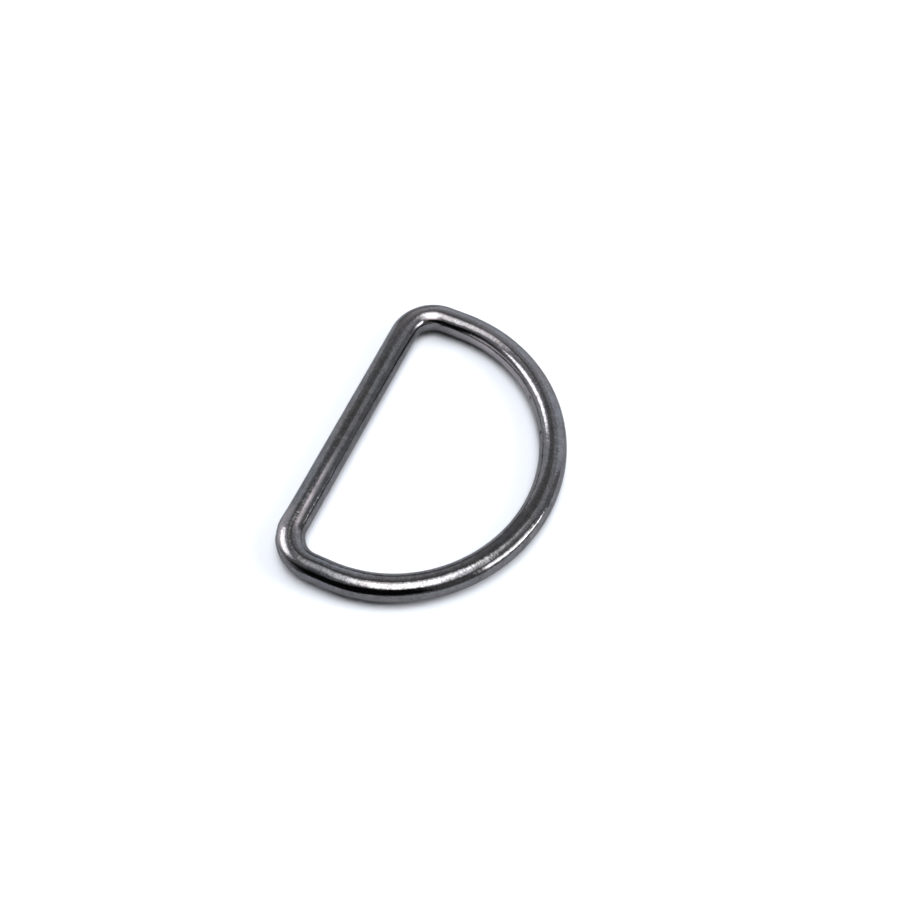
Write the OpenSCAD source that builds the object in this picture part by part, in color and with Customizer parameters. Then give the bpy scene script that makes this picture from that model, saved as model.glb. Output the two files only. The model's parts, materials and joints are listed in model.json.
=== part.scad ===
// A D ring of round metal wire, closed all the way round: a straight bar, a tight bend
// at each end of it, two short straight sides and a half-round bow.
// The ring lies flat with Z up and the surface that it lies on at Z 0. The bar runs
// along Y, the bow stands out towards +X, and the origin is under the middle of the outline.

/* [Ring] */
// Clear width between the sides, the widest strap that the ring takes
inner_width = 25.4; // [16:0.1:50]
// Straight stretch of each side, from the bend to the start of the bow
side_length = 1.8; // [0.4:0.1:12]
// Inside radius of the bends at the ends of the bar
bend_inner_radius = 1.8; // [0.4:0.1:6]

/* [Wire] */
// Diameter of the round wire
wire_diameter = 2.5; // [1.2:0.1:5]

/* [Hidden] */

// Facets of a full circle in the preview
smoothness = 96;

wire_radius = wire_diameter / 2;

// Radii of the bends and of the bow at the middle of the wire
bend_radius = bend_inner_radius + wire_radius;
bow_radius = inner_width / 2 + wire_radius;

// Straight length of the bar between its bends
bar_length = 2 * (bow_radius - bend_radius);

// Distance from the middle of the bar to the middle of the wire at the crown of the bow
depth = bend_radius + side_length + bow_radius;

// Places along X of the bar, of the middle of the bends and of the middle of the bow
bar_x = -depth / 2;
bend_x = bar_x + bend_radius;
bow_x = bend_x + side_length;

// A straight stretch of wire that starts at the origin and runs along Z
module straight_wire(length) {
    cylinder(h = length, r = wire_radius, $fn = smoothness);
}

// Wire bent about Z to a radius, from a start angle through a turn
module bent_wire(radius, start, turn) {
    rotate([0, 0, start])
        rotate_extrude(angle = turn, $fn = smoothness)
            translate([radius, 0])
                circle(r = wire_radius, $fn = smoothness);
}

// The straight bar that a strap is sewn round
module bar() {
    translate([bar_x, bar_length / 2, 0])
        rotate([90, 0, 0])
            straight_wire(bar_length);
}

// The tight bend at the +Y end of the bar
module bend() {
    translate([bend_x, bar_length / 2, 0])
        bent_wire(bend_radius, 90, 90);
}

// The short straight side at +Y, between the bend and the bow
module side() {
    translate([bend_x, bow_radius, 0])
        rotate([0, 90, 0])
            straight_wire(side_length);
}

// The half-round bow that a hook or a cord pulls on
module bow() {
    translate([bow_x, 0, 0])
        bent_wire(bow_radius, -90, 180);
}

// The whole ring, one closed piece with its lowest line on the surface
module ring() {
    color("dimgray")
        translate([0, 0, wire_radius]) {
            bar();
            bow();
            for (mirrored = [0, 1])
                mirror([0, mirrored, 0]) {
                    bend();
                    side();
                }
        }
}

ring();
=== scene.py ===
import json
from math import atan2, cos, degrees, exp, pi, radians, sin

import bpy
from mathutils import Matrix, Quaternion, Vector, noise


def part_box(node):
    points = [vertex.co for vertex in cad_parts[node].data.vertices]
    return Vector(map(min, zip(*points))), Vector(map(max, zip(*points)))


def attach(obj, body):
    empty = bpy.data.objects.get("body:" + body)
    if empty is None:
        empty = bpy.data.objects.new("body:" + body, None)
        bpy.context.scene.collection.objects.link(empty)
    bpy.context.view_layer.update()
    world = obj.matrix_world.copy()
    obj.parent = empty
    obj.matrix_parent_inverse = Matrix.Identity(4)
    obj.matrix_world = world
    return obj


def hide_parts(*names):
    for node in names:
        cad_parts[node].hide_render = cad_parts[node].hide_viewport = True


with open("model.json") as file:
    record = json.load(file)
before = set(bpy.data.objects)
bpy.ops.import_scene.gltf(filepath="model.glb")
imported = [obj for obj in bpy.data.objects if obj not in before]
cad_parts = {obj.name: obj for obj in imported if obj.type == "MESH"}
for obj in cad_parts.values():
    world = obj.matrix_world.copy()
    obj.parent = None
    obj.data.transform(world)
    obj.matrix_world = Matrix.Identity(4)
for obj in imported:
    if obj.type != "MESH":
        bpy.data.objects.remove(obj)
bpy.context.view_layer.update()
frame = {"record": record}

# The wire of the ring
# One round steel wire, bent to a D on a former, its ends welded and ground flush, tumbled and
# plated. Half of it is swept from the middle of the bar to the crown of the bow, and mirrored.
mm_per_m = 1000
low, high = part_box("ring")
strap_bar = next(mount for mount in frame["record"]["mounts"] if mount["name"] == "strap_bar")
half_bar = strap_bar["dims"]["length_mm"] / mm_per_m / 2
wire_radius = strap_bar["dims"]["r_mm"] / mm_per_m
bow_radius = (high[1] - low[1]) / 2 - wire_radius
bend_radius = bow_radius - half_bar
bar_x = low[0] + wire_radius
bend_x = bar_x + bend_radius
bow_x = high[0] - wire_radius - bow_radius
merge_distance = wire_radius / 1000
quarter_turn = radians(90)
facets_round = 96
bar_steps = 78
bend_steps = 34
side_steps = 13
bow_steps = 156

bpy.ops.object.select_all(action="DESELECT")
bpy.ops.mesh.primitive_circle_add(
    vertices=facets_round, radius=wire_radius,
    location=(bar_x, 0, wire_radius), rotation=(quarter_turn, 0, 0))
wire = bpy.context.object
wire.name = "ring_wire"
wire.data.name = "ring_wire"
bpy.ops.object.transform_apply(location=True, rotation=True, scale=True)
bpy.ops.object.mode_set(mode="EDIT")
bpy.ops.mesh.select_all(action="SELECT")
for step in range(bar_steps):
    bpy.ops.mesh.extrude_region_move(
        TRANSFORM_OT_translate={"value": (0, half_bar / bar_steps, 0)})
bpy.ops.mesh.spin(
    steps=bend_steps, angle=quarter_turn, center=(bend_x, half_bar, wire_radius), axis=(0, 0, 1))
for step in range(side_steps):
    bpy.ops.mesh.extrude_region_move(
        TRANSFORM_OT_translate={"value": ((bow_x - bend_x) / side_steps, 0, 0)})
bpy.ops.mesh.spin(
    steps=bow_steps, angle=quarter_turn, center=(bow_x, 0, wire_radius), axis=(0, 0, 1))
bpy.ops.object.mode_set(mode="OBJECT")

other_half = wire.modifiers.new("other half", "MIRROR")
other_half.use_axis = (False, True, False)
other_half.merge_threshold = merge_distance
bpy.ops.object.modifier_apply(modifier=other_half.name)
bpy.ops.object.mode_set(mode="EDIT")
bpy.ops.mesh.select_all(action="SELECT")
bpy.ops.mesh.remove_doubles(threshold=merge_distance)
bpy.ops.mesh.normals_make_consistent(inside=False)
bpy.ops.object.mode_set(mode="OBJECT")
bpy.ops.object.shade_smooth()


def place_on_wire(point):
    """Where a point of the wire lies: millimetres along it from the middle of the bar, above 0
    towards +Y, then the middle of the wire there and the way outwards from the ring."""
    side = 1 if point.y > 0 else -1
    across = abs(point.y)
    start_of_side = half_bar + bend_radius * pi / 2
    if point.x > bow_x:
        turn = atan2(point.x - bow_x, across)
        along = start_of_side + bow_x - bend_x + bow_radius * turn
        outwards = Vector((sin(turn), side * cos(turn), 0))
        middle = Vector((bow_x, 0, wire_radius)) + outwards * bow_radius
    elif point.x > bend_x:
        along = start_of_side + point.x - bend_x
        outwards = Vector((0, side, 0))
        middle = Vector((point.x, side * bow_radius, wire_radius))
    elif across > half_bar:
        turn = atan2(across - half_bar, bend_x - point.x)
        along = half_bar + bend_radius * turn
        outwards = Vector((-cos(turn), side * sin(turn), 0))
        middle = Vector((bend_x, side * half_bar, wire_radius)) + outwards * bend_radius
    else:
        along = across
        outwards = Vector((-1, 0, 0))
        middle = Vector((bar_x, point.y, wire_radius))
    return side * along * mm_per_m, middle, outwards


def angle_round(point, middle, outwards):
    """The angle of a point round the wire in degrees: 0 outwards, 90 up, 180 inwards, 270 down."""
    from_middle = point - middle
    return (degrees(atan2(from_middle.z, from_middle.dot(outwards))) + 90) % 360 - 90


def marked(spots, along, angle):
    """What all the marks of one kind add up to at a place on the wire. Each fades out to 0."""
    return sum(
        amount * exp(-((along - spot_along) / reach) ** 2 - ((angle - spot_angle) / spread) ** 2)
        for spot_along, spot_angle, reach, spread, amount in spots)


# The marks of bending, plating and wearing, with painted highlights and painted shade. A row holds
# millimetres along the wire, the angle round it, how far the mark reaches along it in mm and round
# it in degrees, and last its rise in mm, or in the second table how bare and light the metal is and
# in the third how dark, from 0 to 1.
knocks = (
    (-12.4, 30, 1.8, 26, 0.13),
    (-12.9, 170, 1.6, 40, 0.05),
    (-16.4, 106, 2.6, 24, 0.05),
    (17.5, 127, 3.5, 20, 0.03),
    (11.6, 138, 1.2, 30, 0.06),
    (13.8, 146, 1.2, 26, -0.04),
    (15.2, 138, 2.3, 14, 0.028),
    (-11.97, 24, 0.22, 10, -0.15),
    (28.4, 160, 0.20, 10, -0.08),
    (32.6, 152, 0.22, 11, -0.10),
)
# Lighter spots of bare metal: real wearing of the plating, and painted highlights that lengthen,
# widen or brighten the mirrored highlights, with two small painted glints.
wear_and_highlight_spots = (
    (20, 100, 11, 200, 0.07),
    (26, 178, 6, 24, 0.40),
    (20.7, 152, 1.3, 13, 0.22),
    (20.8, 98, 2.0, 12, 0.22),
    (13.0, 84, 2.0, 15, 0.30),
    (-6.0, 109, 2.2, 8, 0.45),
    (-8.9, 112, 1.3, 8, 0.60),
    (-10.8, 116, 1.0, 8, 0.70),
    (-10.6, 55, 1.0, 22, 0.18),
    (-12.5, 51, 1.2, 9, 0.40),
    (14.4, 127, 0.9, 8, 0.90),
    (-36.0, 23, 0.15, 7, 0.30),
    (-33.4, 79, 0.20, 7, 0.18),
)
# Dark spots: painted shade that trims and darkens mirrored highlights, rims and faces and the
# inside of one corner, and the dirt in three real pits.
shade_and_pit_spots = (
    (-16.9, 78, 2.8, 14, 0.55),
    (-14.7, 115, 1.6, 18, 0.20),
    (-16.4, 94, 1.4, 8, 0.40),
    (11.4, 142, 0.6, 10, 0.95),
    (-14.2, 72, 0.8, 10, 0.35),
    (-15.2, 43, 0.8, 7, 0.85),
    (-30.7, 52, 0.6, 16, 0.75),
    (15, 180, 3, 20, 0.30),
    (-21, 18, 7, 30, 0.15),
    (-37, 108, 5, 24, 0.20),
    (39, 108, 4, 24, 0.12),
    (12.9, 112, 1.2, 10, 0.25),
    (-9.6, 95, 1.6, 9, 0.45),
    (-9.4, 142, 2.4, 8, 0.65),
    (1, 156, 9, 9, 0.22),
    (-11.97, 24, 0.22, 10, 1.0),
    (28.4, 160, 0.20, 10, 0.9),
    (32.6, 152, 0.22, 11, 0.9),
)
waves_per_m = 450
wave_height_mm = 0.006

# Each point takes its share of painted highlight with wearing, and of painted shade with pit dirt.
wear_and_highlight = wire.data.attributes.new("wear_and_highlight", "FLOAT", "POINT")
painted_shade_and_pits = wire.data.attributes.new("painted_shade_and_pits", "FLOAT", "POINT")
for number, vertex in enumerate(wire.data.vertices):
    along, middle, outwards = place_on_wire(vertex.co)
    angle = angle_round(vertex.co, middle, outwards)
    wear_and_highlight.data[number].value = marked(wear_and_highlight_spots, along, angle)
    painted_shade_and_pits.data[number].value = marked(shade_and_pit_spots, along, angle)
    rise = marked(knocks, along, angle) + wave_height_mm * noise.noise(vertex.co * waves_per_m)
    vertex.co = middle + (vertex.co - middle) * (1 + rise / mm_per_m / wire_radius)
    # No point goes below the floor.
    vertex.co.z = max(vertex.co.z, 0)

# Each corner of a face gets its millimetres along and round the wire. Corners on a seam of the
# count, at the crown or underneath, take the side that their face is on.
wire_place = wire.data.attributes.new("wire_place", "FLOAT_VECTOR", "CORNER")
for face in wire.data.polygons:
    face_along, middle, outwards = place_on_wire(face.center)
    face_angle = angle_round(face.center, middle, outwards)
    for corner in face.loop_indices:
        point = wire.data.vertices[wire.data.loops[corner].vertex_index].co
        along, middle, outwards = place_on_wire(point)
        along = abs(along) if face_along > 0 else -abs(along)
        angle = angle_round(point, middle, outwards)
        angle += 360 * round((face_angle - angle) / 360)
        wire_place.data[corner].vector = (along, radians(angle) * wire_radius * mm_per_m, 0)


# The plating of the ring
# Polished gunmetal plating, dark and nearly neutral, a little warm in some places and a little
# blue in others. It is finely mottled, with short marks of tumbling across the wire.
black = (0, 0, 0, 1)
white = (1, 1, 1, 1)
warm_gunmetal = (0.172, 0.164, 0.167, 1)
cool_gunmetal = (0.159, 0.163, 0.172, 1)
mottle_grey = (0.60, 0.60, 0.60, 1)
bare_metal_and_highlight = (0.515, 0.456, 0.472, 1)
pit_dirt_and_painted_shade = (0.015, 0.014, 0.014, 1)
grazing_tint = (0.6, 0.6, 0.6, 1)
mark_density = (4.5, 0.7, 1)
grain_share = 0.5
bare_patches = 4
polished_roughness = 0.04
ripple_roughness = 0.05
cross_mark_roughness = 0.03
wear_and_highlight_roughness = 0.3
shade_and_pit_roughness = 0.2
cross_mark_height = 0.5
grain_height = 0.5
relief_depth = 0.00001


class Socket:
    """A node's output in a material. The + - * signs between sockets and numbers add Math nodes."""

    def __init__(self, tree, source=None):
        self.tree = tree
        self.source = source

    def node(self, kind, settings, values, output=0):
        """Add a node: first its settings, then a value or a link for each socket that is named."""
        node = self.tree.nodes.new(kind)
        for name, setting in settings.items():
            if name == "stops":
                for element, (place, colour) in zip(node.color_ramp.elements, setting):
                    element.position = place
                    element.color = colour
            else:
                setattr(node, name, setting)
        for name, value in values.items():
            if isinstance(value, Socket):
                self.tree.links.new(value.source, node.inputs[name])
            else:
                node.inputs[name].default_value = value
        return Socket(self.tree, node.outputs[output])

    def math(self, operation, first, second):
        return self.node("ShaderNodeMath", {"operation": operation}, {0: first, 1: second})

    def __add__(self, other):
        return self.math("ADD", self, other)

    def __sub__(self, other):
        return self.math("SUBTRACT", self, other)

    def __rsub__(self, other):
        return self.math("SUBTRACT", other, self)

    def __mul__(self, other):
        return self.math("MULTIPLY", self, other)

    __radd__ = __add__
    __rmul__ = __mul__


plating = bpy.data.materials.new("gunmetal_plating")
plating.use_nodes = True
plating.node_tree.nodes.clear()
shade = Socket(plating.node_tree)
place = shade.node("ShaderNodeTexCoord", {}, {}, "Object")
on_wire = shade.node("ShaderNodeAttribute", {"attribute_name": "wire_place"}, {}, "Vector")
painted_shade_and_pit_share = shade.node("ShaderNodeAttribute", {"attribute_name": "painted_shade_and_pits"}, {}, "Fac")
wear_and_highlight_share = shade.node("ShaderNodeAttribute", {"attribute_name": "wear_and_highlight"}, {}, "Fac")


def cloudy(scale, detail, roughness):
    """A noise all through the metal, from 0 to 1 and mostly near the middle."""
    return shade.node(
        "ShaderNodeTexNoise", {},
        {"Vector": place, "Scale": scale, "Detail": detail, "Roughness": roughness}, "Fac")


def rising(value, start, end):
    """0 where a value is below the start, 1 where it is above the end, and even between them."""
    return shade.node(
        "ShaderNodeValToRGB", {"stops": [(start, black), (end, white)]}, {"Fac": value})


def mixed(share, colour, other_colour, blend="MIX"):
    """A colour with a share of another colour laid over it."""
    # A Mix node takes its two colours in sockets 6 and 7 and gives the mixed one from socket 2.
    return shade.node(
        "ShaderNodeMix", {"data_type": "RGBA", "blend_type": blend},
        {0: share, 6: colour, 7: other_colour}, 2)


tone = cloudy(260, 3, 0.55)
mottle = cloudy(900, 5, 0.95)
ripple = cloudy(2600, 2, 0.5)
grain = cloudy(7000, 2, 0.6)
across_wire = shade.node(
    "ShaderNodeMapping", {}, {"Vector": on_wire, "Scale": mark_density}, "Vector")
cross_marks = shade.node(
    "ShaderNodeTexNoise", {"noise_dimensions": "2D"},
    {"Vector": across_wire, "Scale": 1, "Detail": 2}, "Fac")
clean_colour = mixed(rising(tone, 0.35, 0.65), cool_gunmetal, warm_gunmetal)
darker = rising(mottle + grain * grain_share - grain_share / 2, 0.4, 0.6)
mottled_colour = mixed(darker, clean_colour, mottle_grey, "MULTIPLY")
# Bare metal shows through in patches that follow the mottling, partly real wearing of the plating
# and partly painted highlight.
bareness_and_highlight = wear_and_highlight_share * (mottle * bare_patches - (bare_patches / 2 - 1))
wear_and_highlight_colour = mixed(bareness_and_highlight, mottled_colour, bare_metal_and_highlight)
# Painted shade, and the dirt in the three pits, darken the colour towards black.
colour = mixed(painted_shade_and_pit_share, wear_and_highlight_colour, pit_dirt_and_painted_shade)
roughness = polished_roughness + ripple * ripple_roughness + cross_marks * cross_mark_roughness
roughness = roughness + wear_and_highlight_share * wear_and_highlight_roughness + painted_shade_and_pit_share * shade_and_pit_roughness
height = ripple + cross_marks * cross_mark_height + grain * grain_height
relief = shade.node(
    "ShaderNodeBump", {}, {"Strength": 1, "Distance": relief_depth, "Height": height}, "Normal")
surface = shade.node(
    "ShaderNodeBsdfPrincipled", {},
    {"Base Color": colour, "Metallic": 1, "Roughness": roughness,
     "Specular Tint": grazing_tint, "Normal": relief}, "BSDF")
output = plating.node_tree.nodes.new("ShaderNodeOutputMaterial")
plating.node_tree.links.new(surface.source, output.inputs["Surface"])
wire.data.materials.append(plating)
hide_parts("ring")
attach(wire, "root")

# The floor
# A plain sheet of white card, far larger than the view, lit a little past white as in a
# product picture.
floor_size = 3.0
bpy.ops.object.select_all(action="DESELECT")
bpy.ops.mesh.primitive_plane_add(size=floor_size, location=(0, 0, 0))
floor = bpy.context.object
floor.name = "floor"
white_card = bpy.data.materials.new("white_card")
white_card.use_nodes = True
card_surface = white_card.node_tree.nodes["Principled BSDF"]
card_surface.inputs["Base Color"].default_value = (0.8, 0.8, 0.8, 1)
card_surface.inputs["Roughness"].default_value = 0.9
card_surface.inputs["Specular IOR Level"].default_value = 0.0
floor.data.materials.append(white_card)

# The studio lights
# Soft boxes round the ring in a plain grey room, out of the camera's view. The wire mirrors
# those of the first group, and those of the second group light the floor.
light_distance = 0.6
floor_light_colour = (0.95, 0.99, 1.06)
room_grey = (0.49, 0.505, 0.53, 1)


def way_to(azimuth, elevation):
    """The way from the ring to a light, a card or the camera, from its two angles in degrees."""
    azimuth = radians(azimuth)
    elevation = radians(elevation)
    return Vector((sin(azimuth) * cos(elevation), -cos(azimuth) * cos(elevation), sin(elevation)))


def facing(thing, azimuth, elevation, turn, distance):
    """Place a light or a card so that it faces the ring and the camera doesn't see it."""
    back = way_to(azimuth, elevation)
    thing.location = back * distance
    thing.rotation_mode = "QUATERNION"
    thing.rotation_quaternion = back.to_track_quat("Z", "Y") @ Quaternion((0, 0, 1), radians(turn))
    thing.visible_camera = False


def soft_box(name, azimuth, elevation, turn, width, height, brightness, colour=(1, 1, 1)):
    """An area light that is equally bright all over, with angles in degrees and sizes in metres."""
    data = bpy.data.lights.new(name, "AREA")
    data.shape = "RECTANGLE"
    data.size = width
    data.size_y = height
    data.energy = brightness * pi * width * height
    data.color = colour
    box = bpy.data.objects.new(name, data)
    bpy.context.collection.objects.link(box)
    facing(box, azimuth, elevation, turn, light_distance)
    return box


mirrored_lights = (
    soft_box("overhead_light", 18, 79, 8, 0.25, 0.385, 4.5),
    soft_box("overhead_glow", 26, 79, 33.5, 0.42, 0.62, 2.1),
    soft_box("overhead_haze", 0, 88, 0, 0.44, 0.44, 1.1),
    soft_box("overhead_edge", 10, 87, 60, 0.75, 0.62, 0.3),
    soft_box("left_light", -80, 41, 4.5, 0.33, 0.21, 6.3, (1.02, 0.99, 1.01)),
    soft_box("left_glow", -92, 25, 72, 0.77, 0.52, 0.7, (0.97, 1.0, 1.06)),
    soft_box("left_low_glow", -47, 5, 16, 0.74, 0.18, 0.75, (1.02, 0.99, 1.01)),
    soft_box("right_light", 79, 24.5, 64, 0.082, 0.71, 10),
    soft_box("right_glow", 74, 28, 72, 0.28, 0.49, 4.0),
    soft_box("right_high_glow", 64, 31, 0, 0.13, 0.18, 2.2),
    soft_box("back_light", 167.5, 15, -15, 0.87, 0.5, 0.9, (0.93, 0.985, 1.11)),
    soft_box("back_glow", 176, 47, -24, 1.17, 0.23, 0.36, (0.95, 1.0, 1.07)))
for box in mirrored_lights:
    box.visible_diffuse = False

floor_lights = (
    soft_box("floor_light", 170, 85, 0, 0.2, 0.2, 9.0),
    soft_box("floor_wide_light", 170, 85, 0, 0.5, 0.5, 3.6),
    soft_box("floor_back_light", 180, 50, 0, 1.0, 0.5, 0.8),
    soft_box("floor_left_light", -90, 41, 0, 0.33, 0.21, 4.5),
    soft_box("floor_right_light", 118, 30, 0, 0.3, 0.3, 10.0),
    soft_box("floor_front_light", 30, 20, 0, 0.46, 0.46, 0.2))
for box in floor_lights:
    box.data.color = floor_light_colour
    box.visible_glossy = False

room = bpy.data.worlds.new("room")
bpy.context.scene.world = room
room.use_nodes = True
room.node_tree.nodes["Background"].inputs["Color"].default_value = room_grey
room.cycles_visibility.diffuse = False

# The cards
# Plain cards in front of the ring, to its front right and front left, and high behind the bar.
# The wire mirrors them as its dark bands. The camera doesn't see them, and they cast no shadow.
card_distance = 0.5


def card_sheet(name, azimuth, elevation, turn, width, height, grey):
    """A card of one shade of grey, turned to the ring."""
    bpy.ops.object.select_all(action="DESELECT")
    bpy.ops.mesh.primitive_plane_add(size=1)
    sheet = bpy.context.object
    sheet.name = name
    sheet.scale = (width, height, 1)
    facing(sheet, azimuth, elevation, turn, card_distance)
    sheet.visible_diffuse = False
    sheet.visible_shadow = False
    paper = bpy.data.materials.new(name)
    paper.use_nodes = True
    paper_surface = paper.node_tree.nodes["Principled BSDF"]
    paper_surface.inputs["Base Color"].default_value = black
    paper_surface.inputs["Specular IOR Level"].default_value = 0.0
    paper_surface.inputs["Emission Color"].default_value = (grey, grey, grey, 1)
    paper_surface.inputs["Emission Strength"].default_value = 1
    sheet.data.materials.append(paper)


card_sheet("front_card", 5, 27, 24, 0.60, 0.43, 0.01)
card_sheet("front_right_card", 53.5, 28, 7, 0.23, 0.37, 0.22)
card_sheet("front_left_card", -34, 33, -39, 0.106, 0.25, 0.06)
card_sheet("back_left_card", -154, 64, 57, 0.12, 0.30, 0.36)

# The camera
# It looks down at the ring from the front right, turned a little on its own axis.
camera_azimuth = 28.13
camera_elevation = 62.12
camera_roll = -3.55
camera_distance = 0.10981
aim = Vector((-0.000047, 0.001333, 0.00125))
camera_data = bpy.data.cameras.new("camera")
camera_data.lens = 48.61
camera_data.sensor_width = 36
camera_data.clip_start = 0.005
camera = bpy.data.objects.new("camera", camera_data)
bpy.context.collection.objects.link(camera)
back = way_to(camera_azimuth, camera_elevation)
camera.location = aim + back * camera_distance
camera.rotation_mode = "QUATERNION"
camera.rotation_quaternion = (
    back.to_track_quat("Z", "Y") @ Quaternion((0, 0, 1), radians(camera_roll)))
bpy.context.scene.camera = camera
bpy.context.scene.view_settings.view_transform = "Standard"
